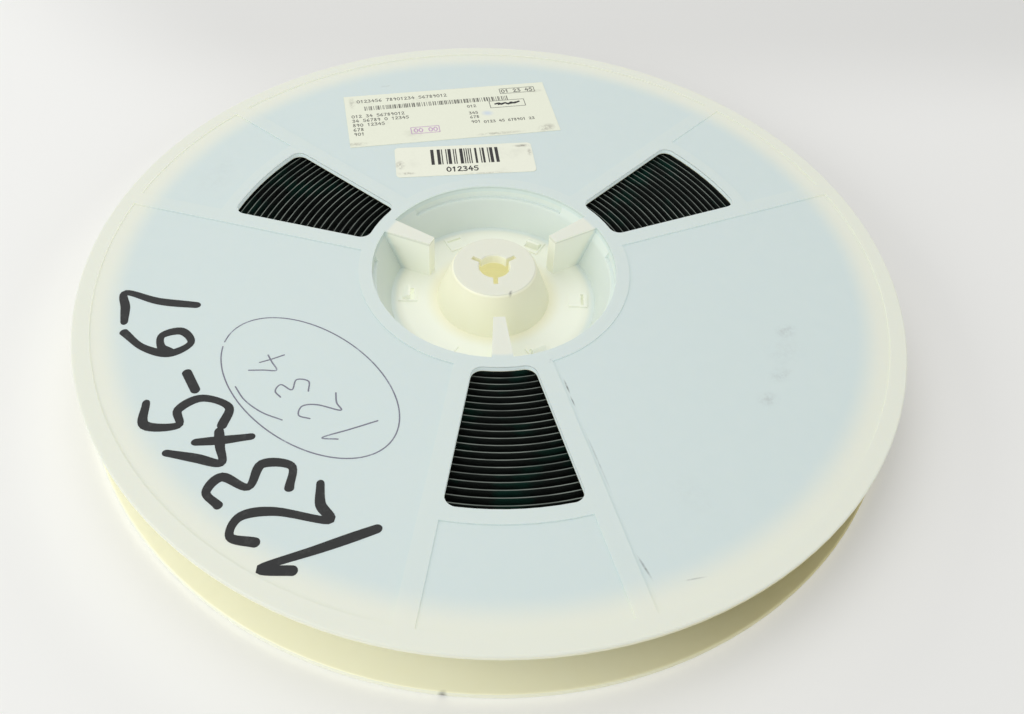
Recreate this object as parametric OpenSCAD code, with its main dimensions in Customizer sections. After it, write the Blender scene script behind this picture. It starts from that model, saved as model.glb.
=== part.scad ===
// Tape reel for surface-mount components, 330 mm, for 24 mm carrier tape.
// Two moulded halves snap together through six catches and hold one roll of tape.
// Z is up. The origin is on the arbor axis, in the plane that the lower flange rests on.

/* [Reel] */
// Outer diameter of both flanges
reel_d = 330; // [300:1:360]
// Overall width of the reel, across both flanges
reel_w = 30; // [27:0.5:44]
// Height of the seam between the halves above the resting plane
seam_h = 8.8; // [8:0.1:11]

/* [Flanges] */
// Thickness of a flange between its raised bands
plate_t = 2; // [1.6:0.1:2.6]
// Height of the raised bands on a flange's outer face
band_t = 0.5; // [0.3:0.1:0.8]
// Width of the raised bead round the rim
bead_w = 6.5; // [4:0.5:9]
// Rounding of the rim's edges
rim_round = 0.7; // [0.4:0.1:0.9]
// Width of the raised lip round the well
lip_w = 5.4; // [4.6:0.1:7]

/* [Windows] */
// Radius of a window's outer edge
window_out_r = 115.5; // [100:0.5:130]
// Angle between a window's centre line and its side
window_half_angle = 12.2; // [9:0.1:15]
// Radius of a window's corners
window_corner_r = 4.5; // [2:0.5:6]
// Land between the winding surface and a window
window_land = 1; // [0.6:0.1:2]
// Width of the raised band beside a window
frame_w = 7; // [4:0.5:9]
// Width of the raised bar beyond a window
bar_w = 5.5; // [3:0.5:8]

/* [Hub] */
// Diameter that the tape is wound on
hub_d = 108; // [100:1:112]
// Thickness of the drum and cup walls
wall_t = 2; // [1.6:0.1:2.4]
// Gap between the drum and the cup at the flange
mouth_gap = 1.8; // [1.4:0.1:2.4]
// Slope of the cup's wall from upright
cup_slope = 23.3; // [15:0.1:26]
// Thickness of the web at the bottom of each cup
web_t = 2.4; // [2:0.1:2.8]
// Depth of the stepped stretches of the deep cup
step_depth = 6; // [4:0.5:8]
// Half of the angle that each plain stretch of cup wall spans
plain_half_angle = 19.5; // [14:0.5:24]

/* [Boss] */
// Diameter of the arbor hole
arbor_d = 13; // [12.8:0.1:13.5]
// Width of the three key slots
key_w = 2; // [1.5:0.1:2.6]
// Distance across the key slots' outer ends, as a diameter
key_d = 20.8; // [20.2:0.1:22]
// Diameter of the boss at its face
boss_d = 35.2; // [31:0.2:38]
// Depth of the boss's face below the flange's outer face
boss_drop = 1; // [0.5:0.1:1.5]
// Thickness of the plate that the arbor hole goes through
boss_plate_t = 4.6; // [3.5:0.1:4.8]
// Slope of the boss's side from upright
boss_slope = 19.8; // [10:0.1:22]
// Chamfer of the boss's edge
boss_chamfer = 0.9; // [0.4:0.1:1.2]

/* [Ribs] */
// Radius of a rib's free end
rib_in_r = 29.5; // [28:0.5:31]
// Width of a rib at its free end
rib_in_w = 4.6; // [4:0.2:6]
// Width of a rib at the well's mouth
rib_out_w = 8.4; // [7:0.2:10]
// Thickness of a rib's skin
rib_skin = 1.3; // [1:0.1:1.6]

/* [Catches] */
// Radius of the ring that the catches stand on
catch_r = 36; // [35:0.5:37]
// Angle from each spoke to the top half's catches
top_catch_turn = 36; // [30:1:40]
// Angle from each spoke to the bottom half's catches
bottom_catch_turn = 27; // [24:1:32]
// Width of a catch
catch_w = 6; // [4:0.5:7]
// Thickness of a catch's arm
catch_t = 2; // [1.5:0.1:2.4]
// Reach of a catch's hook past its arm
hook_reach = 1.2; // [0.8:0.1:1.4]
// Height of a catch's hook
hook_h = 2.1; // [1.6:0.1:2.4]
// Clearance round a catch's arm and under its hook
catch_gap = 0.2; // [0.1:0.05:0.3]
// Length and width of the raised pad round a catch
pad_w = 8; // [7.6:0.1:9]
// Height of the pad above the web
pad_t = 0.6; // [0.4:0.1:1]

/* [Tape] */
// Width of the carrier tape
tape_w = 24; // [20:0.5:24.4]
// Outer radius of the wound roll
roll_r = 150; // [120:1:155]
// Radial pitch of the turns
turn_pitch = 3.04; // [2:0.02:5]
// Thickness of the tape's edge strip
tape_t = 0.5; // [0.3:0.05:0.8]
// Depth of the pockets' sides below the tape's edges
pocket_inset = 2; // [1:0.1:3]
// Clearance of the roll from the hub and from the lower flange
roll_gap = 0.2; // [0.1:0.05:0.4]

/* [Labels] */
// Length of the large label
label_l = 100.5; // [80:0.5:110]
// Height of the large label
label_h = 41; // [30:0.5:45]
// Length of the small label
tag_l = 64; // [50:0.5:70]
// Height of the small label
tag_h = 21.6; // [16:0.2:24]
// Angle that the large label is turned by
label_tilt = 7.1; // [-10:0.1:10]
// Angle that the small label is turned by
tag_tilt = 3.2; // [-10:0.1:10]
// Gap between the lip and the small label
tag_gap = 3.9; // [2:0.1:8]
// Gap between the two labels' middles
label_gap = 5.6; // [4:0.1:20]
// Distance of the large label's middle to the left of the hub
label_shift = 1.6; // [0:0.1:8]
// Distance of the small label's middle to the left of the hub
tag_shift = 5.4; // [0:0.1:8]
// Thickness of the labels
paper_t = 0.2; // [0.1:0.05:0.3]

/* [Hidden] */
$fn = 96;
EPS = 0.01;

// Windows, ribs and plain stretches of the cup share these three directions
SPOKE_ANGLES = [-90, 30, 150];

reel_r = reel_d / 2;
flange_t = plate_t + band_t;
bead_r = reel_r - bead_w;
drum_r = hub_d / 2;
well_r = drum_r - wall_t - mouth_gap;
lip_r = well_r + lip_w;
window_in_r = drum_r + window_land;
window_x = cos(window_half_angle);
band_reach = frame_w / window_x;
top_seam = reel_w - seam_h;

arbor_r = arbor_d / 2;
boss_r = boss_d / 2;
boss_edge = boss_drop + boss_chamfer;
boss_plate_end = boss_drop + boss_plate_t;
boss_skin = wall_t / cos(boss_slope);
cup_skin = wall_t / cos(cup_slope);
// The moulded gap between drum and cup starts where it is as wide as the mouth gap's land
cavity_z = flange_t + cup_skin / tan(cup_slope) - (mouth_gap - 1) / tan(cup_slope);

roll_in_r = drum_r + roll_gap;
turns = floor((roll_r - roll_in_r - tape_t) / turn_pitch);
last_turn_r = roll_in_r + turns * turn_pitch;

tag_y = lip_r + tag_gap + tag_h / 2;
label_y = tag_y + tag_h / 2 + label_gap + label_h / 2;
label_z = reel_w - band_t;

// Inner radius of the cup's wall, and outer radius of the boss, at a depth below the outer face
function cup_at(z) = well_r - (z - flange_t) * tan(cup_slope);
function boss_at(z) = boss_r + (z - boss_edge) * tan(boss_slope);

module wedge(half_angle, reach) {
    side = reach * tan(half_angle);
    polygon([[0, 0], [reach, -side], [reach, side]]);
}

module ring(inner_r, outer_r) {
    difference() {
        circle(r = outer_r);
        circle(r = inner_r);
    }
}

module ring_sector(inner_r, outer_r, half_angle) {
    intersection() {
        ring(inner_r, outer_r);
        wedge(half_angle, outer_r + 1);
    }
}

// One window along +X: a ring sector with four round corners
module window_outline() {
    c = window_corner_r;
    in_angle = window_half_angle - asin(c / (window_in_r + c));
    out_angle = window_half_angle - asin(c / (window_out_r - c));
    mid_r = (window_in_r + window_out_r) / 2;
    ring_sector(sqrt(pow(window_in_r + c, 2) - c * c), sqrt(pow(window_out_r - c, 2) - c * c), window_half_angle);
    ring_sector(window_in_r, mid_r, in_angle);
    ring_sector(mid_r, window_out_r, out_angle);
    for (side = [-1, 1]) {
        rotate(side * in_angle) translate([window_in_r + c, 0]) circle(r = c);
        rotate(side * out_angle) translate([window_out_r - c, 0]) circle(r = c);
    }
}

// The raised band round one window, with the sunken panel beyond its bar
module spoke_band() {
    reach = bead_r + 1;
    start = well_r - 1;
    slope = tan(window_half_angle);
    difference() {
        intersection() {
            ring(well_r + 1, bead_r + 1);
            polygon([
                [start, -start * slope - band_reach],
                [reach, -reach * slope - band_reach],
                [reach, reach * slope + band_reach],
                [start, start * slope + band_reach]
            ]);
        }
        ring_sector(window_out_r + bar_w, bead_r, window_half_angle);
    }
}

// Section of a half, from the arbor hole out to the rim, with its outer face at z = 0
module half_section(seam) {
    floor_z = seam - web_t;
    polygon([
        [arbor_r + 0.4, boss_drop],
        [boss_r - boss_chamfer, boss_drop],
        [boss_r, boss_edge],
        [boss_at(floor_z), floor_z],
        [cup_at(floor_z), floor_z],
        [well_r, flange_t],
        [well_r, 0],
        [lip_r, 0],
        [lip_r, band_t],
        [bead_r, band_t],
        [bead_r, 0],
        each [for (a = [-90:22.5:0]) [reel_r - rim_round + rim_round * cos(a), rim_round + rim_round * sin(a)]],
        each [for (a = [0:22.5:90]) [reel_r - rim_round + rim_round * cos(a), flange_t - rim_round + rim_round * sin(a)]],
        [drum_r, flange_t],
        [drum_r, seam],
        [drum_r - wall_t, seam],
        [drum_r - wall_t, cavity_z],
        [cup_at(cavity_z) + cup_skin, cavity_z],
        [cup_at(seam) + cup_skin, seam],
        [boss_at(seam) - boss_skin, seam],
        [boss_at(boss_plate_end) - boss_skin, boss_plate_end],
        [arbor_r, boss_plate_end],
        [arbor_r, boss_drop + 0.4]
    ]);
}

// A tapered rib between the cup's wall and the boss, along +X
module rib_outline(skin) {
    polygon([
        [rib_in_r + skin, -rib_in_w / 2 + skin],
        [well_r + 1 - skin, -rib_out_w / 2 + skin],
        [well_r + 1 - skin, rib_out_w / 2 - skin],
        [rib_in_r + skin, rib_in_w / 2 - skin]
    ]);
}

module rib(seam) {
    floor_z = seam - web_t;
    intersection() {
        linear_extrude(floor_z + EPS) rib_outline(0);
        rotate_extrude() polygon([
            [0, 0],
            [well_r + EPS, 0],
            [well_r + 1, flange_t],
            [cup_at(floor_z) + 1, floor_z + EPS],
            [0, floor_z + EPS]
        ]);
    }
}

// The rib's hollow, open towards the seam and clear of the cup's wall
module rib_hollow(seam) {
    intersection() {
        translate([0, 0, 2 * rib_skin]) linear_extrude(seam) rib_outline(rib_skin);
        rotate_extrude() polygon([
            [0, 0],
            [cup_at(0) - 1, 0],
            [cup_at(seam) - 1, seam + 1],
            [0, seam + 1]
        ]);
    }
}

// An arm with a hook that reaches through the other half's web, along +X
module catch(seam) {
    hook_z = web_t + pad_t + catch_gap;
    translate([catch_r, catch_w / 2, seam]) rotate([90, 0, 0]) linear_extrude(catch_w) polygon([
        [-catch_t / 2, -web_t / 2],
        [catch_t / 2, -web_t / 2],
        [catch_t / 2, hook_z],
        [catch_t / 2 + hook_reach, hook_z],
        [catch_t / 2 + hook_reach, hook_z + hook_h / 3],
        [0, hook_z + hook_h],
        [-catch_t / 2, hook_z + hook_h]
    ]);
}

// Hole in the web for the other half's catch, with room for its arm to bend inwards
module catch_slot(seam) {
    bend_room = hook_reach + catch_gap;
    slot_w = catch_w + 2 * catch_gap;
    translate([catch_r - catch_t / 2 - bend_room, -slot_w / 2, seam - web_t - pad_t - 1])
        cube([catch_t + bend_room + catch_gap, slot_w, web_t + pad_t + 2]);
}

// Hole under a half's own hook, where the mould's core comes through
module core_hole(seam) {
    hole_w = catch_w + 2 * catch_gap;
    translate([catch_r + catch_t / 2 + catch_gap, -hole_w / 2, seam - web_t - pad_t - 1])
        cube([hook_reach, hole_w, web_t + pad_t + 2]);
}

// Raised pad that stiffens the web round a hole
module pad(seam) {
    translate([catch_r - pad_w / 2, -pad_w / 2, seam - web_t - pad_t]) cube([pad_w, pad_w, pad_t + web_t / 2]);
}

// A whole half: its own catches stand at catch_turn past each spoke, the other half's come through at slot_turn
module half(seam, catch_turn, slot_turn) {
    difference() {
        union() {
            rotate(SPOKE_ANGLES[1]) rotate_extrude() half_section(seam);
            for (a = SPOKE_ANGLES) rotate(a) {
                linear_extrude(band_t + EPS) spoke_band();
                rib(seam);
                rotate(catch_turn) pad(seam);
                rotate(-slot_turn) pad(seam);
            }
        }
        for (a = SPOKE_ANGLES) rotate(a) {
            translate([0, 0, -1]) linear_extrude(flange_t + 2) window_outline();
            translate([0, -key_w / 2, 0]) cube([key_d / 2, key_w, boss_plate_end + 1]);
            rib_hollow(seam);
            rotate(catch_turn) core_hole(seam);
            rotate(-slot_turn) catch_slot(seam);
        }
        if (seam - web_t > step_depth + 1) for (a = SPOKE_ANGLES)
            rotate(a + plain_half_angle) rotate_extrude(angle = 120 - 2 * plain_half_angle)
                translate([cup_at(step_depth) - 1, -1]) square([well_r - cup_at(step_depth) + 1, step_depth + 1]);
    }
    for (a = SPOKE_ANGLES) rotate(a + catch_turn) catch(seam);
}

module bottom_half() {
    color([0.93, 0.92, 0.83]) half(seam_h, bottom_catch_turn, top_catch_turn);
}

module top_half() {
    color([0.84, 0.88, 0.87]) translate([0, 0, reel_w]) rotate([0, 180, 0])
        half(top_seam, top_catch_turn, bottom_catch_turn);
}

// All turns as one solid: each turn's edge strip stands proud of its pockets' sides, and the last turns lie flat
module tape_roll() {
    low_z = flange_t + roll_gap;
    color([0.07, 0.08, 0.09]) rotate_extrude() {
        translate([roll_in_r, low_z + pocket_inset]) square([last_turn_r - roll_in_r, tape_w - 2 * pocket_inset]);
        for (k = [0:turns - 1]) translate([roll_in_r + k * turn_pitch, low_z]) square([tape_t, tape_w]);
        translate([last_turn_r, low_z]) square([roll_r - last_turn_r, tape_w]);
    }
}

module large_label() {
    color([0.95, 0.94, 0.90]) rotate(label_tilt) translate([-label_shift, label_y, label_z])
        linear_extrude(paper_t) square([label_l, label_h], center = true);
}

// A label with round corners
module small_label() {
    c = 2;
    color([0.95, 0.94, 0.90]) rotate(tag_tilt) translate([-tag_shift, tag_y, label_z]) linear_extrude(paper_t) {
        square([tag_l - 2 * c, tag_h], center = true);
        square([tag_l, tag_h - 2 * c], center = true);
        for (x = [-1, 1], y = [-1, 1]) translate([x * (tag_l / 2 - c), y * (tag_h / 2 - c)]) circle(r = c);
    }
}

top_half();
bottom_half();
tape_roll();
large_label();
small_label();
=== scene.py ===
# %% [markdown]
# # Dressing a tape reel
# The object is a 330 mm plastic reel that holds a long strip of black carrier tape, the packaging in which
# small electronic parts travel to an assembly line. Its two halves are moulded in milky polystyrene. CAD
# already fixes every size, so this lesson is about looks: milky plastic that shows the dark tape behind it,
# a wound tape with its pockets, printed labels, pen marks and wear.
#
# The first cell loads the fixed CAD model, and `part_box` reads the box of any of its nodes.

import math
import random
from types import SimpleNamespace

import bpy
from mathutils import Matrix, Vector


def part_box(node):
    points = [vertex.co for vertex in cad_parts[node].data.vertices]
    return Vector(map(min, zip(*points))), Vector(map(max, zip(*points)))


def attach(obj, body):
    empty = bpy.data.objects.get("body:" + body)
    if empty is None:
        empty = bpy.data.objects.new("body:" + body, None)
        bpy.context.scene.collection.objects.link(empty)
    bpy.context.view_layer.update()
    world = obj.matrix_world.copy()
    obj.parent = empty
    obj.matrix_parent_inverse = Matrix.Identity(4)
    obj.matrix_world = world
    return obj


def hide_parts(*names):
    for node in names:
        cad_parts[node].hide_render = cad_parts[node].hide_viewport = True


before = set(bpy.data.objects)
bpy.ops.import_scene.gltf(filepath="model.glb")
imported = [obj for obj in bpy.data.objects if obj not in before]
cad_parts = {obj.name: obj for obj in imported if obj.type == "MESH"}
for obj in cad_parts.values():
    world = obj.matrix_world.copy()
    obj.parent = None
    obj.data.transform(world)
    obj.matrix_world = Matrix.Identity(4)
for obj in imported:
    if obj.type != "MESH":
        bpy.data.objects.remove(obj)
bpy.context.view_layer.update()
MM = 0.001

# %% [markdown]
# Sizes are read from the CAD nodes, so a label or a pen stroke lies on the flange wherever the flange is.
# The few sizes that no node's box tells are listed after them. All are in millimetres, measured from the
# table top and from the reel's axis.

# %% Sizes that the looks need
REEL_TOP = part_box("top_half")[1][2] / MM
REEL_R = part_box("top_half")[1][0] / MM
TAPE_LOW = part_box("tape_roll")[0][2] / MM
TAPE_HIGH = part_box("tape_roll")[1][2] / MM
ROLL_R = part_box("tape_roll")[1][0] / MM
PAPER_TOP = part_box("large_label")[1][2] / MM
PLATE_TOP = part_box("large_label")[0][2] / MM
WELL_R = 50.2        # the well at its mouth
MOUTH_Z = 28.0       # where the well's sloping wall starts
WALL_SLOPE = 0.43    # how far that wall leans inward, for each millimetre down
TURN_PITCH = 3.04    # from one turn of tape to the next
print("reel", REEL_R, REEL_TOP, "tape", TAPE_LOW, TAPE_HIGH, ROLL_R, "paper", PLATE_TOP, PAPER_TOP)

# %% [markdown]
# ## Camera
# A camera is a place, a direction and a lens. Looking down on the reel from about 45 degrees, fairly close,
# gives a strong perspective. The lens shift moves the middle of the image without tilting the camera, which
# keeps the reel in the upper part of the frame.

# %% Camera
EYE = Vector((-27.46, -288.09, 310.28)) * MM
LOOK = Vector((0.07432, 0.70592, -0.70438)).normalized()
HEADING = math.radians(6.01)
LEAN = math.radians(3.14)

level = Vector((math.cos(HEADING), -math.sin(HEADING), 0))
upright = level.cross(LOOK).normalized()
side = level * math.cos(LEAN) + upright * math.sin(LEAN)
top = upright * math.cos(LEAN) - level * math.sin(LEAN)

scene = bpy.context.scene
camera_data = bpy.data.cameras.new("camera")
camera_data.lens = 34.41
camera_data.sensor_width = 36
camera_data.shift_x = 0.0109
camera_data.shift_y = -0.0788
camera_data.clip_end = 20
camera = bpy.data.objects.new("camera", camera_data)
scene.collection.objects.link(camera)
camera.matrix_world = Matrix((
    (side.x, top.x, -LOOK.x, EYE.x),
    (side.y, top.y, -LOOK.y, EYE.y),
    (side.z, top.z, -LOOK.z, EYE.z),
    (0, 0, 0, 1),
))
scene.camera = camera
scene.view_settings.view_transform = "Standard"
print("camera at", [round(v, 3) for v in EYE])

# %% [markdown]
# ## Shader formulas
# Shader networks are easier to read as formulas. `Signal` wraps one output socket of a node, and Python's
# own operators add the Math nodes: `1 - mask` or `shade * 0.5` works as written. Every other kind of node
# comes from its one method `node`, which sets the node's options first and then its inputs, from numbers or
# from other signals.

# %% Signals
class Signal:
    """One output of a node, with arithmetic that adds Math nodes."""

    def __init__(self, tree, socket=None):
        self.tree = tree
        self.socket = socket

    def node(self, kind, settings=None, values=None, out=0):
        made = self.tree.nodes.new("ShaderNode" + kind)
        for name, value in (settings or {}).items():
            setattr(made, name, value)
        for name, value in (values or {}).items():
            if isinstance(value, Signal):
                self.tree.links.new(value.socket, made.inputs[name])
            else:
                made.inputs[name].default_value = value
        return Signal(self.tree, made.outputs[out])

    def math(self, operation, a, b=0.0):
        return self.node("Math", {"operation": operation}, {0: a, 1: b})

    def __add__(self, other):
        return self.math("ADD", self, other)

    def __sub__(self, other):
        return self.math("SUBTRACT", self, other)

    def __rsub__(self, other):
        return self.math("SUBTRACT", other, self)

    def __mul__(self, other):
        return self.math("MULTIPLY", self, other)

    def __truediv__(self, other):
        return self.math("DIVIDE", self, other)

    def __pow__(self, other):
        return self.math("POWER", self, other)

    __radd__ = __add__
    __rmul__ = __mul__


print("signals ready")

# %% [markdown]
# A few formulas come back in every finish. `rise` goes smoothly from 0 to 1 between two values, `band` is 1
# between two values, `blend` mixes two colours by a mask, and `grain` is noise. Colours are written as the
# sRGB numbers that a painter would pick and turned into the linear light that Blender works in.

# %% Common formulas
def linear(red, green, blue):
    """An sRGB colour from 0 to 255 as Blender's linear colour."""
    def one(value):
        share = value / 255
        return share / 12.92 if share <= 0.04045 else ((share + 0.055) / 1.055) ** 2.4
    return (one(red), one(green), one(blue), 1.0)


def rise(signal, low, high):
    """0 below low, 1 above high, and smooth between them."""
    return signal.node("MapRange", {"interpolation_type": "SMOOTHSTEP"},
                       {"Value": signal, "From Min": low, "From Max": high})


def band(signal, low, high, soft):
    """1 between low and high, with edges of width soft."""
    return rise(signal, low - soft, low) * (1 - rise(signal, high, high + soft))


def blend(factor, base, over):
    """Colour base where the factor is 0, colour over where it is 1."""
    return factor.node("Mix", {"data_type": "RGBA"}, {0: factor, 6: base, 7: over}, out=2)


def scaled(share, colour):
    """A colour times a share."""
    return share.node("VectorMath", {"operation": "SCALE"}, {0: colour, "Scale": share})


def fraction(signal):
    """What is left of a signal above its whole number."""
    return signal.math("FRACT", signal)


def grain(place, scale, detail=3.0, rough=0.55):
    """Noise from 0 to 1 with about scale bumps in a metre."""
    return place.node("TexNoise", None,
                      {"Vector": place, "Scale": scale, "Detail": detail, "Roughness": rough})


def bump(height, strength, distance):
    """A normal that stands for small bumps of that height."""
    return height.node("Bump", None, {"Height": height, "Strength": strength, "Distance": distance})


print("formulas ready")

# %% [markdown]
# Two helpers say where a point lies: `split` takes a vector apart, and `measure` gives the three directions
# and the distance from the axis in millimetres, because a reel is drawn from its axis outward. `spot` is a
# soft elliptical mark, and `marks` adds up a whole table of them. `new_finish` starts a material.

# %% Places, marks and new finishes
MARK_DEPTH = 4.0


def split(vector):
    """The x, y and z of a vector signal."""
    node = vector.node("SeparateXYZ", None, {0: vector}).socket.node
    return tuple(Signal(vector.tree, output) for output in node.outputs)


def measure(place):
    """x, y, z and the distance from the reel's axis, as signals in millimetres."""
    x, y, z = (part / MM for part in split(place))
    return x, y, z, (x * x + y * y) ** 0.5


def spot(place, x, y, length, width, turn=0.0, z=0.0):
    """A soft mark: 1 at its middle, 0 at the rim of an ellipse. Sizes are in millimetres."""
    local = place.node(
        "Mapping", {"vector_type": "TEXTURE"},
        {"Vector": place, "Location": (x * MM, y * MM, z * MM), "Rotation": (0, 0, math.radians(turn)),
         "Scale": (length / 2 * MM, width / 2 * MM, MARK_DEPTH * MM)})
    reach = local.node("VectorMath", {"operation": "LENGTH"}, {0: local}, out=1)
    return 1 - rise(reach, 0.0, 1.0)


def marks(place, table):
    """All the marks of a table as one mask, each of its own strength."""
    total = None
    for x, y, length, width, turn, strength in table:
        mark = spot(place, x, y, length, width, turn, REEL_TOP) * strength
        total = mark if total is None else total + mark
    return total


def new_finish(name):
    """A material with its Principled shader, and the object's own coordinates as a signal."""
    finish = bpy.data.materials.new(name)
    finish.use_nodes = True
    finish.cycles.emission_sampling = "NONE"
    shader = finish.node_tree.nodes["Principled BSDF"]
    place = Signal(finish.node_tree).node("TexCoord", out=3)
    return finish, shader, place


def feed(shader, name, value):
    """Puts a number, a colour or a signal into one of the shader's sockets."""
    if isinstance(value, Signal):
        value.tree.links.new(value.socket, shader.inputs[name])
    else:
        shader.inputs[name].default_value = value


print("helpers ready")

# %% [markdown]
# ## Floor and light
# The reel lies on a plain pale table top, whose colour is painted light: paler on the lamp's side and a
# little greyer at the back.
# Its own colour makes it pale: brighter lamps would bleach the plastic as well. Milky plastic casts a weak
# shadow, since light comes through it, and a faint glow of the floor close to the rim stands for that light.

# %% Floor
LAMP_WAY = (-0.82, -0.57)


def table_top():
    finish, shader, place = new_finish("table_top")
    x, y, z, r = measure(place)
    cloudy = grain(place, 2.5)
    lamp_distance = x * LAMP_WAY[0] + y * LAMP_WAY[1]
    # painted light: the table's colour is greyer at the back and paler towards the lamp, as the lamp's light
    # falls off
    colour = blend(rise(y, 120, 240), linear(241, 241, 238), linear(224, 224, 221))
    colour = blend(rise(lamp_distance, -30, 100), colour, linear(245, 245, 242))
    colour = blend(cloudy * 0.3, colour, linear(233, 233, 231))
    round_reel = 0.10 * (1 - rise(r, REEL_R + 7, REEL_R + 42))
    feed(shader, "Base Color", colour)
    feed(shader, "Roughness", 0.75)
    feed(shader, "Emission Color", scaled(round_reel, (1.0, 1.0, 0.96)))
    feed(shader, "Emission Strength", 1.0)
    return finish


def make_floor(reach):
    mesh = bpy.data.meshes.new("floor")
    corners = [(-reach, -reach, 0), (reach, -reach, 0), (reach, reach, 0), (-reach, reach, 0)]
    mesh.from_pydata(corners, [], [(0, 1, 2, 3)])
    floor = bpy.data.objects.new("floor", mesh)
    floor.location.z = -0.2 * MM
    scene.collection.objects.link(floor)
    mesh.materials.append(table_top())
    return floor


floor = make_floor(6.0)
print("floor ready,", len(floor.data.polygons), "face")

# %% [markdown]
# One large lamp low on the left gives the gentle fall of light to the right, a second one above the back
# lifts the labels, and an even white world fills in the shadows. Rays that come straight from the camera,
# from a mirror-like surface or through a clear one see a plain white world.

# %% World and lamps
def make_world(strength, seen_strength):
    world = bpy.data.worlds.new("studio")
    scene.world = world
    world.use_nodes = True
    tree = world.node_tree
    background = tree.nodes["Background"]
    rays = Signal(tree).node("LightPath").socket.node.outputs
    seen = Signal(tree, rays["Is Camera Ray"]) + Signal(tree, rays["Is Glossy Ray"])
    seen = seen + Signal(tree, rays["Is Transmission Ray"])
    plain = seen.node("Mix", {"data_type": "FLOAT", "clamp_factor": True},
                      {0: seen, 2: strength, 3: seen_strength})
    tree.links.new(plain.socket, background.inputs["Strength"])
    background.inputs["Color"].default_value = (1, 1, 1, 1)


def make_lamp(name, place, size, power):
    lamp_data = bpy.data.lights.new(name, "AREA")
    lamp_data.shape = "DISK"
    lamp_data.size = size
    lamp_data.energy = power
    lamp = bpy.data.objects.new(name, lamp_data)
    lamp.location = place
    lamp.rotation_euler = (Vector((0, 0, 0)) - Vector(place)).to_track_quat("-Z", "Y").to_euler()
    scene.collection.objects.link(lamp)
    return lamp


make_world(0.68, 0.95)
key_lamp = make_lamp("key_lamp", (-1.25, -0.75, 0.90), 1.4, 8.8)
back_lamp = make_lamp("back_lamp", (-0.20, 0.60, 1.25), 1.2, 3.4)
print("lamps:", key_lamp.name, back_lamp.name)

# %% [markdown]
# ## Milky plastic
# Polystyrene this thin is milky: light goes in, scatters and comes out, and what lies behind shows as a
# tint. Over the wound tape the flange turns a cool grey, past the roll's edge it is warm cream, and the
# well's wall, with the tape just behind it, is cool as well. A real see-through shader would need many
# light bounces and would be lost when the model is exported, so the tint is painted by the distance from
# the axis, with an edge as soft as the plastic blurs it.
#
# Here are its colours, and two tables of wear: broad grey smudges, and narrow dark scuffs where an edge has
# been knocked.

# %% Colours, painted light and shade, and wear of the plastic
CREAM = linear(229, 232, 218)
OVER_TAPE = linear(208, 222, 220)
# painted light: the lit colour of the gap and rim on the lamp's side
PAINTED_GAP_LIGHT = linear(231, 229, 196)
# painted shade and glow: tan for the boss's side in the well and for the glow deep in the boss
TAN_PAINTED_SHADE_AND_GLOW = linear(222, 212, 150)
# painted shade: the colour of the gap and rim away from the lamp
PAINTED_GAP_SHADE = linear(198, 186, 120)
PALE_GRAIN = linear(243, 246, 238)
SMUDGE = linear(150, 152, 150)
DARK_MARK = linear(84, 84, 80)

SMUDGES = (
    # x, y, length, width, turn, strength
    (112, -40, 12, 9, 20, 0.45),
    (108, -50, 26, 20, 40, 0.14),
    (104, -62, 14, 9, 30, 0.30),
    (96, -73, 12, 9, 10, 0.42),
    (18, -52, 5, 2, 60, 0.70),
    (-47, 130, 7, 2, 10, 0.55),
    (-120, 60, 40, 20, 70, 0.10),
    (60, -112, 34, 18, -40, 0.08),
)
SCUFFS = (
    (22.6, -64.5, 9, 1.0, 103, 0.95),
    (24.0, -71.5, 7, 0.8, 104, 0.75),
    (29.5, -97, 34, 1.0, 103, 0.30),
    (39, -138, 12, 1.2, 112, 0.65),
    (54, -142.5, 11, 0.8, 8, 0.40),
    (48, 7, 3, 1.6, 60, 0.60),
    (5.5, -15.8, 4.5, 2, 70, 0.80),
)
print(len(SMUDGES), "smudges and", len(SCUFFS), "scuffs")

# %% [markdown]
# Each part of the reel gets a mask from its height and its distance from the axis. `lamp_side` is 1 towards
# the lamp and -1 away from it, and `facing` says the same of the way a surface faces.

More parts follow.
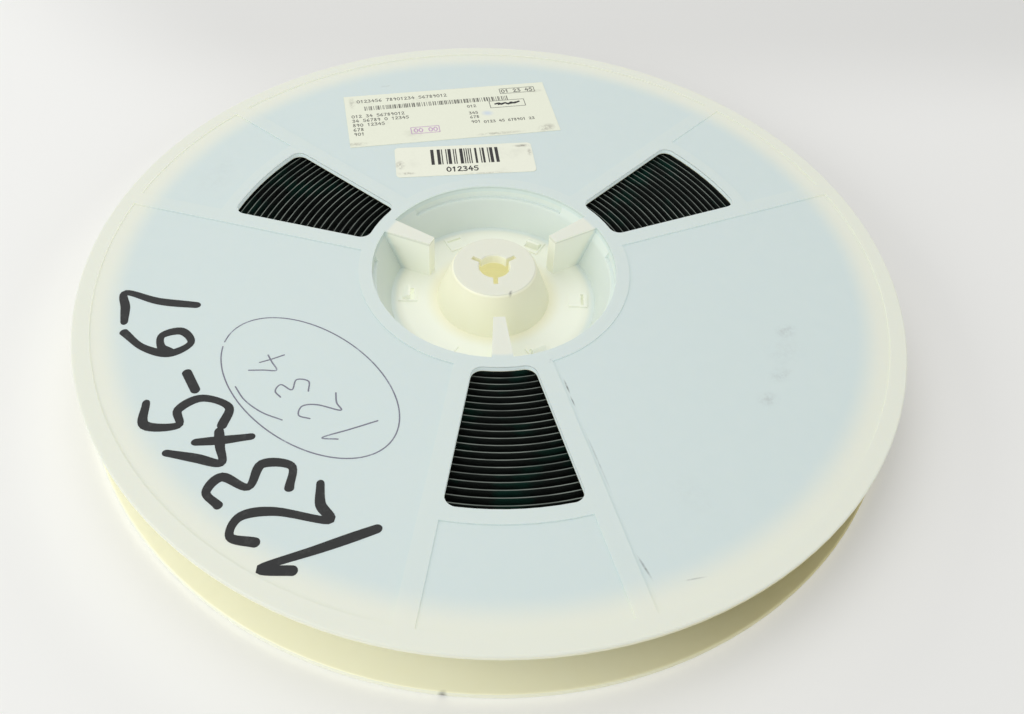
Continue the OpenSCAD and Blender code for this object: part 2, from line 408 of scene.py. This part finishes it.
# %% Masks for the parts of the reel
def reel_parts(place):
    """Masks that are 1 on one part of the reel each."""
    x, y, z, r = measure(place)
    normal = Signal(place.tree, place.socket.node.outputs["Normal"])
    normal_x, normal_y, normal_z = split(normal)
    off_wall = r - WALL_SLOPE * z - (WELL_R - WALL_SLOPE * MOUTH_Z)
    at = SimpleNamespace()
    at.lamp_side = (x * LAMP_WAY[0] + y * LAMP_WAY[1]) / r
    at.facing = normal_x * LAMP_WAY[0] + normal_y * LAMP_WAY[1]

    at.outer_face = rise(z, TAPE_HIGH - 0.2, TAPE_HIGH + 0.5) + (1 - rise(z, TAPE_LOW - 0.5, TAPE_LOW - 0.1))
    at.over_roll = (1 - rise(r, ROLL_R - 5.5, ROLL_R + 6.5)) * rise(r, WELL_R - 2.2, WELL_R - 0.2)
    at.raised = rise(z, PLATE_TOP + 0.15, PLATE_TOP + 0.35) + (1 - rise(z, 0.2, 0.4))
    at.steps = band(z, PLATE_TOP + 0.06, PLATE_TOP + 0.42, 0.03) * (1 - rise(r, REEL_R - 2.0, REEL_R - 1.5))
    at.window_edges = band(z, 27.6, 29.4, 0.1) * band(r, 54.5, 116.0, 0.2)
    at.gap = band(z, 2.4, 27.6, 0.1) * rise(r, 53.5, 54.0)
    at.rim = rise(r, REEL_R - 0.8, REEL_R - 0.2) * band(z, 0.2, 29.2, 0.2) * (1 - at.gap)
    at.low_flange = 1 - rise(z, 4.0, 6.0)

    at.well_wall = rise(off_wall, -3.0, -0.4) * (1 - rise(r, 51.5, 53.5)) * (1 - at.outer_face)
    at.well = (1 - rise(r, WELL_R + 0.3, WELL_R + 1.0)) * band(z, 1.0, 28.6, 0.2)
    at.well_middle = 1 - rise(off_wall, -6.0, -1.0)
    at.well_mouth = rise(z, 22.5, 24.5)
    at.slots = band(z, 2.0, 10.8, 0.2) * band(r, 30.0, 43.0, 0.5)
    at.boss_side = (1 - rise(r, 23.5, 30.0)) * band(z, 2.0, 28.0, 1.5)
    at.in_boss = (1 - rise(r + z * 0.36, 26.2, 27.0)) * band(z, 0.5, 24.5, 0.5)
    at.in_bore = (1 - rise(r, 7.0, 8.0)) * band(z, 24.5, 28.5, 0.3)
    at.off_bore = rise(r, 6.6, 7.2)
    return at


print("mask formulas ready")

# %% [markdown]
# The colour starts as cream and takes the tape's cool tint where the roll lies behind. The raised bands are
# thicker, so they hide the tape better and look whiter. Surfaces that face inward, between the flanges and
# at the rim, get light only through plastic: their colour is painted light and shade, warm cream towards the
# lamp and dark tan away from it. The boss's side in the well is painted tan, as shade.

# %% Colour of the milky plastic
def milky_colour(place, at, cloudy, fine, wear):
    tint = at.over_roll * at.outer_face * (0.94 + 0.12 * cloudy) * (1 - 0.14 * at.raised)
    colour = blend(tint, CREAM, OVER_TAPE)
    colour = blend(at.well_wall * 0.7, colour, OVER_TAPE)
    # painted light and shade: the gap and rim are painted warm cream towards the lamp and dark tan away from
    # it
    gap_painted_light_and_shade = at.gap * 0.9 + at.rim * (0.95 - 0.65 * rise(at.lamp_side, -0.2, 0.9))
    colour = blend(gap_painted_light_and_shade, colour, blend(rise(at.lamp_side, -0.3, 0.8), PAINTED_GAP_SHADE, PAINTED_GAP_LIGHT))
    # painted shade: the boss's side in the well is painted tan
    colour = blend(at.boss_side * (0.12 + 0.22 * at.off_bore), colour, TAN_PAINTED_SHADE_AND_GLOW)
    colour = blend(fine * 0.10, colour, PALE_GRAIN)

    streaky = grain(place, 420.0, 4.0, 0.7)
    colour = blend(wear * rise(streaky, 0.35, 0.75), colour, SMUDGE)
    colour = blend(marks(place, SCUFFS) * rise(streaky, 0.25, 0.6), colour, DARK_MARK)
    rim_chip = spot(place, -25.5, -163.0, 4.5, 3.0, 9, 0.4)
    return blend(rim_chip * 0.85, colour, DARK_MARK)


print("colour formula ready")

# %% [markdown]
# Light that has come through the plastic fills the well and the gap between the flanges, most of it on the
# lamp's side. It also evens out the light and dark edges of the thin steps, which would look like hard
# plastic without it. The shader adds it as a weak glow in the plastic's own colour, and in tan deep inside
# the boss.

# %% Light from inside the plastic
GLOW = SimpleNamespace(
    gap=0.42,              # between the flanges, where it points at the lamp
    gap_start=0.05,        # taken off again, so that the glow ends on the far side
    upper_rim=0.20,        # share of the gap's glow at the rim
    lower_rim=0.22,        # more of it at the lower flange's rim
    well_wall=0.05,
    well_middle=0.09,      # floor, ribs and boss
    well_lamp_side=0.08,
    well_mouth=0.09,
    slots=0.11,
    steps=0.30,
    steps_facing=0.24,     # less on steps that face the lamp, more on those that face away
    window_edges=0.40,
    boss=0.12,
    bore=0.02,
)


def passed_light(at, colour):
    through = GLOW.gap * at.lamp_side - GLOW.gap_start
    through = through.math("MAXIMUM", through, 0.0)
    glow = (at.gap + at.rim * (GLOW.upper_rim + GLOW.lower_rim * at.low_flange)) * through

    wall_share = GLOW.well_wall * rise(at.facing, -0.8, 0.0)
    middle_share = GLOW.well_middle + GLOW.well_lamp_side * rise(at.lamp_side, 0.2, 0.9)
    mouth_share = at.well_mouth * rise(at.facing, -0.3, 0.6) * GLOW.well_mouth
    glow = glow + at.well * (wall_share + at.well_middle * middle_share + (1 - at.well_middle) * mouth_share)
    glow = glow + at.slots * GLOW.slots
    glow = glow + at.steps * (GLOW.steps - GLOW.steps_facing * at.facing)
    glow = glow + at.window_edges * GLOW.window_edges

    shine = scaled(glow, colour)
    deep = GLOW.boss * at.in_boss + GLOW.bore * at.in_bore
    return shine.node("VectorMath", {"operation": "ADD"}, {0: shine, 1: scaled(deep, TAN_PAINTED_SHADE_AND_GLOW[:3])})


print("glow has", len(vars(GLOW)), "shares")

# %% [markdown]
# The finish joins colour and glow. A little subsurface scattering softens the shading, and smudges are
# duller than clean plastic.

# %% Reel plastic
def reel_plastic(name):
    finish, shader, place = new_finish(name)
    at = reel_parts(place)
    cloudy = grain(place, 9.0)
    fine = grain(place, 140.0)
    wear = marks(place, SMUDGES)
    colour = milky_colour(place, at, cloudy, fine, wear)
    feed(shader, "Base Color", colour)
    feed(shader, "Roughness", 0.36 + 0.12 * fine + 0.15 * wear)
    feed(shader, "Normal", bump(cloudy + 0.05 * fine, 0.12, 0.001))
    feed(shader, "Emission Color", passed_light(at, colour))
    feed(shader, "Emission Strength", 1.0)
    feed(shader, "Subsurface Weight", 0.18)
    feed(shader, "Subsurface Radius", (1.0, 0.9, 0.7))
    feed(shader, "Subsurface Scale", 0.002)
    feed(shader, "IOR", 1.55)
    feed(shader, "Specular IOR Level", 0.45)
    return finish


def wear_finish(node, finish):
    """Gives a CAD node its finish and makes sure that it has no other."""
    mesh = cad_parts[node].data
    mesh.materials.clear()
    mesh.materials.append(finish)


milky = reel_plastic("milky_plastic")
for half in ("top_half", "bottom_half"):
    wear_finish(half, milky)
    print(half, "has", len(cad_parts[half].data.polygons), "faces")

# %% [markdown]
# ## Paper
# The labels are matte paper with a faint fibre texture. Handling leaves grey rub marks, mostly along the
# edges, and the large one has a pale blue dot of ink.

# %% Label paper
FIBRE = linear(222, 224, 208)
RUB = linear(150, 146, 134)
BLUE_DOT = linear(196, 212, 234)

LARGE_RUBS = (
    # x, y, length, width, turn, strength
    (-63, 115, 4, 14, 7, 0.5),
    (-60, 82, 16, 4, 7, 0.5),
    (8, 90, 34, 3, 7, 0.6),
    (31, 94, 12, 8, 30, 0.7),
    (28, 125, 10, 4, 7, 0.4),
    (-10, 128, 60, 3, 7, 0.3),
)
SMALL_RUBS = (
    (-39, 66, 6, 8, 0, 1.0),
    (-36, 60, 10, 3, 3, 0.7),
    (18, 80, 12, 3, 3, 0.9),
    (21, 75, 3, 8, 0, 0.6),
    (0, 60, 30, 2, 3, 0.4),
)


def label_paper(name, paper, rubbed, seed, table):
    finish, shader, place = new_finish(name)
    moved = place.node("Mapping", None, {"Vector": place, "Location": (seed, seed * 2, 0)})
    fibre = grain(moved, 900.0, 2.0)
    patchy = grain(moved, 55.0, 4.0, 0.65)
    streaky = grain(place, 520.0, 4.0, 0.7)
    colour = blend(rise(patchy, 0.56, 0.72) * 0.55, paper, rubbed)
    colour = blend(fibre * 0.25, colour, FIBRE)
    colour = blend(marks(place, table) * rise(streaky, 0.35, 0.60), colour, RUB)
    colour = blend(spot(place, 3.1, 106.2, 8, 6, 0, PAPER_TOP) * 0.7, colour, BLUE_DOT)
    feed(shader, "Base Color", colour)
    feed(shader, "Roughness", 0.62 + 0.2 * fibre)
    feed(shader, "Normal", bump(fibre + patchy, 0.25, 0.0002))
    feed(shader, "Specular IOR Level", 0.3)
    return finish


large_paper = label_paper("large_label_paper", linear(238, 241, 222), linear(214, 216, 199), 0.31, LARGE_RUBS)
small_paper = label_paper("small_label_paper", linear(241, 243, 226), linear(226, 228, 212), 1.7, SMALL_RUBS)
wear_finish("large_label", large_paper)
wear_finish("small_label", small_paper)
print("papers:", large_paper.name, small_paper.name)

# %% [markdown]
# ## Wound tape
# Carrier tape is a black plastic strip 24 mm wide with a pocket formed every 12 mm, and it is wound with the
# pockets inward. Seen from the side of the reel, each turn shows its cut edge as a thin pale line. A real
# spiral looks better than the CAD model's closed rings, since the lines step outward from window to window,
# so the roll is built here as one long strip with its pockets. Sizes are in millimetres.

# %% Sizes of the tape
STRIP_T = 0.34                 # thickness of the strip
SEGMENTS = 180                 # straight pieces in one turn
START_TURN_R = 54.46           # middle of the strip where it leaves the drum
LEAD_IN = 0.7                  # radians that it lies on the drum before it climbs
POCKET_PITCH = 12.0
POCKET_LENGTH = 8.8
POCKET_DEPTH = 2.1
POCKET_DRAFT = 0.4             # how much shorter a pocket's floor is, at each end
POCKET_TOP = TAPE_HIGH - 3.4
POCKET_LOW = TAPE_LOW + 3.6
FIRST_POCKET = 2 * math.pi * 0.9
LAST_POCKET_GAP = 0.2          # radians between the last pocket and the strip's end


def turn_radius(angle):
    """Middle of the strip after that many radians of winding."""
    return START_TURN_R + TURN_PITCH * max(angle, 0.0) / (2 * math.pi)


def polar(radius, angle, height):
    """A point of the roll, in metres. Winding starts at the front, towards -Y."""
    turn = angle - math.pi / 2
    return (radius * math.cos(turn) * MM, radius * math.sin(turn) * MM, height * MM)


END_ANGLE = (ROLL_R - STRIP_T / 2 - START_TURN_R) / TURN_PITCH * 2 * math.pi
print("the tape has", round(END_ANGLE / (2 * math.pi), 1), "turns")

# %% [markdown]
# The strip is a closed tube with a narrow rectangular section, and each pocket is a small closed box against
# its inner side.

# %% Tape geometry
def box_faces(first):
    """The six faces of a box whose eight corners start at that index, lower ring first."""
    a, b, c, d, e, f, g, h = range(first, first + 8)
    return [(a, d, c, b), (e, f, g, h), (a, b, f, e), (b, c, g, f), (c, d, h, g), (d, a, e, h)]


def add_strip(verts, faces):
    count = int(END_ANGLE / (2 * math.pi) * SEGMENTS)
    for i in range(count + 1):
        angle = -LEAD_IN + (END_ANGLE + LEAD_IN) * i / count
        radius = turn_radius(angle)
        for side_r, height in ((-1, TAPE_LOW), (1, TAPE_LOW), (1, TAPE_HIGH), (-1, TAPE_HIGH)):
            verts.append(polar(radius + side_r * STRIP_T / 2, angle, height))
    for i in range(count):
        for k in range(4):
            a, b = 4 * i + k, 4 * i + (k + 1) % 4
            faces.append((a, b, b + 4, a + 4))
    faces.append((3, 2, 1, 0))
    faces.append(tuple(4 * count + k for k in range(4)))


def add_pocket(angle, radius, verts, faces):
    outer = radius - STRIP_T / 2
    first = len(verts)
    for height in (POCKET_LOW, POCKET_TOP):
        near = POCKET_LENGTH / 2 / radius
        verts.extend((polar(outer, angle - near, height), polar(outer, angle + near, height)))
        far = (POCKET_LENGTH / 2 - POCKET_DRAFT) / radius
        inner = outer - POCKET_DEPTH
        verts.extend((polar(inner, angle + far, height), polar(inner, angle - far, height)))
    faces.extend(box_faces(first))


def wind_tape():
    verts, faces = [], []
    add_strip(verts, faces)
    angle = FIRST_POCKET
    pockets = 0
    while angle < END_ANGLE - LAST_POCKET_GAP:
        radius = turn_radius(angle)
        add_pocket(angle, radius, verts, faces)
        angle += POCKET_PITCH / radius
        pockets += 1
    print("tape:", pockets, "pockets,", len(faces), "faces")
    return verts, faces


tape_verts, tape_faces = wind_tape()

# %% [markdown]
# The tape's plastic is black, with a soft sheen painted into its colour as faint green patches. Its two edges
# are painted as thin pale lines, patchy along the roll. The outermost turn shows its face at the rim: a clear
# cover strip over the pockets, and a row of round sprocket holes, one each 4 mm, along one edge. Both are
# patterns in the angle round the axis; the pockets and holes are painted darker, as shade inside them.

# %% Tape finish
HOLE_PITCH = 4.0
HOLE_R = 0.75
HOLE_FROM_EDGE = 1.75


def tape_plastic():
    finish, shader, place = new_finish("black_tape")
    x, y, z, r = measure(place)
    along = place.node("Math", {"operation": "ARCTAN2"}, {0: y, 1: x}) * ROLL_R
    uneven = grain(place, 70.0, 2.0)
    fine = grain(place, 600.0, 2.0)
    painted_sheen = rise(grain(place, 60.0, 3.0), 0.50, 0.68)
    edge = rise(z, TAPE_HIGH - 0.12, TAPE_HIGH - 0.02) + (1 - rise(z, TAPE_LOW + 0.02, TAPE_LOW + 0.12))
    colour = blend(fine * 0.5, linear(22, 26, 24), linear(38, 44, 40))
    # painted sheen: faint green patches over the black
    colour = blend(painted_sheen * 0.9, colour, linear(18, 58, 48))
    line = edge * rise(r, 56.0, 56.5) * (0.35 + 0.65 * rise(uneven, 0.30, 0.70))
    colour = blend(line, colour, linear(120, 128, 120))

    face = rise(r, ROLL_R - 3.3, ROLL_R - 3.2) * (1 - edge)
    hole_x = (fraction(along / HOLE_PITCH) - 0.5) * HOLE_PITCH
    hole_y = z - (TAPE_LOW + HOLE_FROM_EDGE)
    hole = 1 - rise((hole_x * hole_x + hole_y * hole_y) ** 0.5, HOLE_R - 0.05, HOLE_R + 0.05)
    pocket = band(fraction(along / POCKET_PITCH), 0.14, 0.86, 0.02)
    pocket = pocket * band(z, POCKET_LOW + 0.3, POCKET_TOP - 0.3, 0.3)
    cover = band(z, TAPE_LOW + 3.2, TAPE_HIGH - 1.0, 0.1)
    colour = blend(face * cover * 0.5, colour, linear(62, 64, 66))
    # painted shade: the pockets and sprocket holes are darker than the tape
    colour = blend(face * pocket * 0.6, colour, linear(16, 17, 19))
    colour = blend(face * hole, colour, linear(6, 6, 6))

    feed(shader, "Base Color", colour)
    feed(shader, "Roughness", 0.42 + 0.2 * fine - face * cover * 0.22)
    feed(shader, "Specular IOR Level", 0.4)
    return finish


def add_piece(name, verts, faces, finish, replaced=()):
    """A new mesh piece that rides on the reel."""
    mesh = bpy.data.meshes.new(name)
    mesh.from_pydata(verts, [], faces)
    mesh.validate()
    mesh.update()
    mesh.materials.append(finish)
    piece = bpy.data.objects.new(name, mesh)
    scene.collection.objects.link(piece)
    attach(piece, "root")
    if replaced:
        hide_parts(*replaced)
    print(name, "has", len(mesh.polygons), "faces")
    return piece


add_piece("wound_tape", tape_verts, tape_faces, tape_plastic(), ("tape_roll",))

# %% [markdown]
# ## Ink
# The digits are plain ones, each written as a few points in a box one unit high. A stroke of the pen is one
# row of points, so a 4 has two rows.

# %% Digits
DIGITS = {
    "0": (((0.30, 1.00), (0.06, 0.72), (0.07, 0.26), (0.31, 0.00), (0.55, 0.28), (0.54, 0.74),
           (0.28, 0.99)),),
    "1": (((0.12, 0.76), (0.33, 1.00), (0.31, 0.50), (0.30, 0.00)),),
    "2": (((0.05, 0.78), (0.24, 1.00), (0.48, 0.86), (0.40, 0.52), (0.04, 0.04), (0.30, 0.07),
           (0.60, 0.01)),),
    "3": (((0.06, 0.90), (0.32, 1.00), (0.50, 0.80), (0.22, 0.54), (0.54, 0.34), (0.38, 0.02),
           (0.03, 0.10)),),
    "4": (((0.34, 1.00), (0.18, 0.66), (0.03, 0.36), (0.32, 0.37), (0.60, 0.38)),
          ((0.46, 0.66), (0.43, 0.34), (0.42, 0.00))),
    "5": (((0.54, 0.98), (0.16, 0.96), (0.11, 0.58), (0.38, 0.60), (0.55, 0.34), (0.36, 0.02),
           (0.04, 0.08)),),
    "6": (((0.46, 1.00), (0.16, 0.66), (0.05, 0.26), (0.28, 0.00), (0.52, 0.18), (0.42, 0.44),
           (0.18, 0.40), (0.07, 0.24)),),
    "7": (((0.04, 0.95), (0.30, 0.96), (0.58, 0.98), (0.36, 0.52), (0.22, 0.00)),),
    "8": (((0.47, 0.82), (0.28, 1.00), (0.10, 0.78), (0.30, 0.54), (0.52, 0.26), (0.30, 0.00),
           (0.07, 0.24), (0.30, 0.54), (0.48, 0.84)),),
    "9": (((0.50, 0.80), (0.28, 0.98), (0.08, 0.74), (0.26, 0.54), (0.50, 0.74), (0.48, 0.40),
           (0.36, 0.00)),),
    "-": (((0.04, 0.50), (0.50, 0.48)),),
}
DIGIT_MIDDLE = 0.3
DIGIT_WIDTH = 0.55


def place_digit(digit, centre, up_angle, height, width):
    """The strokes of a digit, in millimetres, with its top towards up_angle."""
    up = Vector((math.cos(math.radians(up_angle)), math.sin(math.radians(up_angle))))
    right = Vector((up.y, -up.x))
    for points in DIGITS[digit]:
        yield [Vector(centre) + right * (px - DIGIT_MIDDLE) * width / DIGIT_WIDTH + up * (py - 0.5) * height
               for px, py in points]


print("digits ready:", "".join(DIGITS))

# %% [markdown]
# A pen stroke is a ribbon that follows a smooth line, with round ends. Blender could sweep a curve, but a
# marker leaves a flat film, so each stroke is a thin closed strip: the line is smoothed by a Catmull-Rom
# curve, offset to both sides, and tapered to a half circle at its ends.

# %% Strokes
BOW_ANGLES = (84, 63, 42, 21)
CLIMB_SHARE = 0.4
SWAY_STEP = 0.33


def smooth_line(points, steps):
    """Points on a Catmull-Rom curve through the given ones."""
    padded = [2 * points[0] - points[1]] + list(points) + [2 * points[-1] - points[-2]]
    line = []
    for p0, p1, p2, p3 in zip(padded, padded[1:], padded[2:], padded[3:]):
        for k in range(steps):
            t = k / steps
            line.append(0.5 * ((2 * p1) + (p2 - p0) * t + (2 * p0 - 5 * p1 + 4 * p2 - p3) * t * t
                               + (3 * p1 - p0 - 3 * p2 + p3) * t * t * t))
    line.append(points[-1])
    return line


def ribbon_sections(line, half):
    """Middle and half width of a ribbon's sections, from one round end to the other."""
    first_way = (line[0] - line[1]).normalized()
    last_way = (line[-1] - line[-2]).normalized()
    bows = [math.radians(angle) for angle in BOW_ANGLES]
    sections = [(line[0] + first_way * half * math.sin(a), half * math.cos(a)) for a in bows]
    sections += [(point, half) for point in line]
    sections += [(line[-1] + last_way * half * math.sin(a), half * math.cos(a)) for a in reversed(bows)]
    return sections


def stroke(points, width, low, high, verts, faces, steps=8, sway=0.0):
    """Adds a closed flat ribbon, in millimetres, through the points.

    It rises a little along its way, so a stroke that crosses itself lies over its own beginning. Its width
    may sway by a share, as a hand's does.
    """
    line = [Vector(point) for point in points]
    if len(line) > 2:
        line = smooth_line(line, steps)
    sections = ribbon_sections(line, width / 2)
    last = len(sections) - 1
    first = len(verts)
    for i, (point, reach) in enumerate(sections):
        top_z = high - (high - low) * CLIMB_SHARE * (1 - i / last)
        way = (sections[min(i + 1, last)][0] - sections[max(i - 1, 0)][0]).normalized()
        across = Vector((-way.y, way.x)) * (1 + sway * math.sin(SWAY_STEP * i + first)) * reach
        for corner, height in ((point + across, low), (point - across, low),
                               (point - across, top_z), (point + across, top_z)):
            verts.append((corner.x * MM, corner.y * MM, height * MM))
    for i in range(last):
        for k in range(4):
            a, b = first + 4 * i + k, first + 4 * i + (k + 1) % 4
            faces.append((a, a + 4, b + 4, b))
    end = len(verts) - 4
    faces.append((first, first + 1, first + 2, first + 3))
    faces.append((end + 3, end + 2, end + 1, end))


print("strokes have", 2 * len(BOW_ANGLES), "sections in their round ends")

# %% [markdown]
# A stock number runs along the left of the flange in thick black marker, with its foot towards the hub. The
# ink lies on the flange's plate, a few hundredths of a millimetre thick.

# %% Marker
INK_FOOT = PLATE_TOP - 0.01


def ink(name, colour, faded, patch_scale, fade_share, roughness):
    finish, shader, place = new_finish(name)
    patchy = grain(place, patch_scale, 4.0, 0.7)
    feed(shader, "Base Color", blend(rise(patchy, 0.52, 0.78) * fade_share, colour, faded))
    feed(shader, "Roughness", roughness + 0.15 * patchy)
    feed(shader, "Specular IOR Level", 0.35)
    return finish


def write(table, width, ink_top, verts, faces, sway=0.0):
    for digit, x, y, up_angle, height, digit_width in table:
        for points in place_digit(digit, (x, y), up_angle, height, digit_width):
            stroke(points, width, INK_FOOT, ink_top, verts, faces, sway=sway)


MARKER_WRITING = (
    # digit, middle x, middle y, direction of its top, height, width
    ("1", -63, -127, 200, 38, 12),
    ("2", -77, -115, 198, 32, 14),
    ("3", -87.5, -101, 196, 29, 13),
    ("4", -103, -87.5, 188, 28, 13),
    ("5", -113, -72, 184, 30, 14),
    ("-", -114, -57, 209, 12, 11),
    ("6", -129.5, -37.5, 176, 26, 13),
    ("7", -131.5, -18.5, 186, 28, 16),
)
marker_verts, marker_faces = [], []
write(MARKER_WRITING, 3.2, PLATE_TOP + 0.06, marker_verts, marker_faces, sway=0.13)
marker_ink = ink("marker_ink", linear(28, 29, 29), linear(80, 82, 80), 260.0, 0.4, 0.45)
add_piece("marker_number", marker_verts, marker_faces, marker_ink)

# %% [markdown]
# A shorter number in ballpoint stands beside it in a loop, which is a tilted ellipse whose ends miss each
# other a little. A short arc next to the loop is a first try of the pen.

# %% Ballpoint
PEN_TOP = PLATE_TOP + 0.03
PEN_WRITING = (
    ("1", -55.5, -81, 200, 20, 7),
    ("2", -67, -71, 198, 15, 8),
    ("3", -77, -61.5, 196, 12.5, 7),
    ("4", -87, -50.5, 205, 14, 8),
)
FIRST_TRY = ((-97.5, -60.5), (-93.5, -66.7), (-87, -72.3), (-79.5, -76))


def loop_points(centre, long_r, short_r, tilt, start, end, count=48):
    """Points on a tilted ellipse, from one angle to another, in degrees."""
    turn = math.radians(tilt)
    points = []
    for k in range(count + 1):
        angle = math.radians(start + (end - start) * k / count)
        u, v = long_r * math.cos(angle), short_r * math.sin(angle)
        points.append(Vector((centre[0] + u * math.cos(turn) - v * math.sin(turn),
                              centre[1] + u * math.sin(turn) + v * math.cos(turn))))
    return points


pen_verts, pen_faces = [], []
write(PEN_WRITING, 0.55, PEN_TOP, pen_verts, pen_faces)
loop = loop_points((-71.5, -60), 40.5, 23.5, -45, 205, 560)
stroke(loop, 0.5, INK_FOOT, PEN_TOP, pen_verts, pen_faces, 2)
stroke(FIRST_TRY, 0.5, INK_FOOT, PEN_TOP + 0.005, pen_verts, pen_faces)
pen_ink = ink("pen_ink", linear(122, 122, 136), linear(186, 196, 202), 160.0, 0.9, 0.5)
add_piece("pen_number", pen_verts, pen_faces, pen_ink)

# %% [markdown]
# ## Print
# The labels carry bar codes, rows of small figures and a stamp. They are printed from simple parts: upright
# bars of varying width, and the same plain digits at type size. The bar widths come from a seeded random
# draw, so they are the same on each run and encode nothing.

# %% Label print
PRINT_FOOT = PAPER_TOP - 0.005
PRINT_TOP = PAPER_TOP + 0.02
FIGURE_STEP = 0.78
FIGURE_WIDTH = 0.56


class Print:
    """Flat ink on one label, laid out in millimetres from the label's middle."""

    def __init__(self, node, tilt):
        low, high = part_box(node)
        self.middle = Vector(((low[0] + high[0]) / 2 / MM, (low[1] + high[1]) / 2 / MM))
        self.right = Vector((math.cos(math.radians(tilt)), math.sin(math.radians(tilt))))
        self.up = Vector((-self.right.y, self.right.x))
        self.tilt = tilt
        self.verts = []
        self.faces = []

    def at(self, u, v):
        return self.middle + self.right * u + self.up * v

    def block(self, u, v, length, height):
        """A filled rectangle with its middle at (u, v)."""
        first = len(self.verts)
        for z in (PRINT_FOOT, PRINT_TOP):
            for du, dv in ((-1, -1), (1, -1), (1, 1), (-1, 1)):
                corner = self.at(u + du * length / 2, v + dv * height / 2)
                self.verts.append((corner.x * MM, corner.y * MM, z * MM))
        self.faces.extend(box_faces(first))

    def bars(self, u, v, length, height, thin, seed):
        """Upright bars and gaps of one to three thin widths, from u to u + length."""
        draw = random.Random(seed)
        along = 0.0
        while along < length - 3 * thin:
            bar = thin * draw.choice((1, 1, 2, 3))
            self.block(u + along + bar / 2, v, bar, height)
            along += bar + thin * draw.choice((1, 1, 2, 3))

    def figures(self, text, u, v, height, pen):
        """A row of digits that starts at u, with its middle at height v."""
        for k, digit in enumerate(text):
            if digit == " ":
                continue
            centre = self.at(u + k * height * FIGURE_STEP, v)
            for line in place_digit(digit, centre, self.tilt + 90, height, height * FIGURE_WIDTH):
                stroke(line, pen, PRINT_FOOT, PRINT_TOP, self.verts, self.faces, 3)

    def frame(self, u, v, length, height, line):
        """The outline of a rectangle with its middle at (u, v)."""
        for du, dv, w, h in ((0, height / 2, length, line), (0, -height / 2, length, line),
                             (-length / 2, 0, line, height), (length / 2, 0, line, height)):
            self.block(u + du, v + dv, w, h)

    def scribble(self, u, v, points, pen):
        line = [self.at(u + du, v + dv) for du, dv in points]
        stroke(line, pen, PRINT_FOOT, PRINT_TOP, self.verts, self.faces)

    def finish_piece(self, name, finish):
        return add_piece(name, self.verts, self.faces, finish)


print("a line of print is", round((PRINT_TOP - PRINT_FOOT) * 1000), "micrometres thick")

# %% [markdown]
# The large label has a heading and its code in a frame, a long fine bar code, five rows of figures at the
# left, four short ones in the middle, and a last row at the lower right. Its print has faded to grey.

# %% Print of the large label
LARGE_TILT = 7.1
LEFT_ROWS = ("012 34 56789012", "34 56789 0 12345", "890 12345", "678", "901")
MIDDLE_ROWS = ((0.0, "012"), (5.6, "345"), (9.0, "678"), (12.8, "901"))

large = Print("large_label", LARGE_TILT)
large.figures("0123456 78901234 56789012", -43.5, 15.6, 2.3, 0.40)
large.frame(36.0, 15.2, 17.5, 4.2, 0.35)
large.figures("01 23 45", 28.8, 15.2, 2.6, 0.5)
large.bars(-41.0, 9.4, 71.5, 3.4, 0.26, 5)
for row, text in enumerate(LEFT_ROWS):
    large.figures(text, -47.0, 3.4 - 3.55 * row, 2.2, 0.40)
for drop, text in MIDDLE_ROWS:
    large.figures(text, 9.5, 4.6 - drop, 2.0, 0.38)
large.figures("0123 45 678901 23", 15.5, -9.0, 1.9, 0.38)
large.frame(29.0, 4.6, 17.5, 5.6, 0.35)
grey_ink = ink("faded_print", linear(112, 112, 104), linear(186, 188, 174), 700.0, 0.7, 0.6)
large.finish_piece("large_label_print", grey_ink)

# %% [markdown]
# Someone has filled in the frame on the large label by hand and struck it through, and someone else has
# stamped it in violet. The small label has a coarse black bar code over six figures.

# %% Handwriting, stamp and the small label's print
black_ink = ink("black_print", linear(46, 45, 44), linear(108, 106, 102), 900.0, 0.4, 0.55)
violet_ink = ink("stamp_ink", linear(196, 160, 198), linear(226, 214, 222), 500.0, 0.7, 0.6)
WAVY_LINE = ((0, 0.4), (2, 0.9), (3, -0.2), (5, 0.8), (6.4, -0.4), (8, 0.9), (9.5, 0.1), (12, 1.2))
STRIKE = ((0, -0.6), (3, 0.2), (6, -0.5), (9, 0.5))

notes = Print("large_label", LARGE_TILT)
notes.scribble(23.0, 4.4, WAVY_LINE, 1.1)
notes.scribble(24.5, 4.8, STRIKE, 0.9)
notes.finish_piece("label_scribble", black_ink)

stamp = Print("large_label", LARGE_TILT)
stamp.frame(-14.0, -11.5, 13.5, 5.0, 0.4)
stamp.figures("00 00", -18.5, -11.5, 3.0, 0.55)
stamp.finish_piece("label_stamp", violet_ink)

small = Print("small_label", 3.2)
small.bars(-15.6, 2.7, 33.0, 11.2, 0.5, 11)
small.figures("012345", -8.0, -6.6, 3.2, 0.62)
small.finish_piece("small_label_print", black_ink)

# %% [markdown] ## Finish
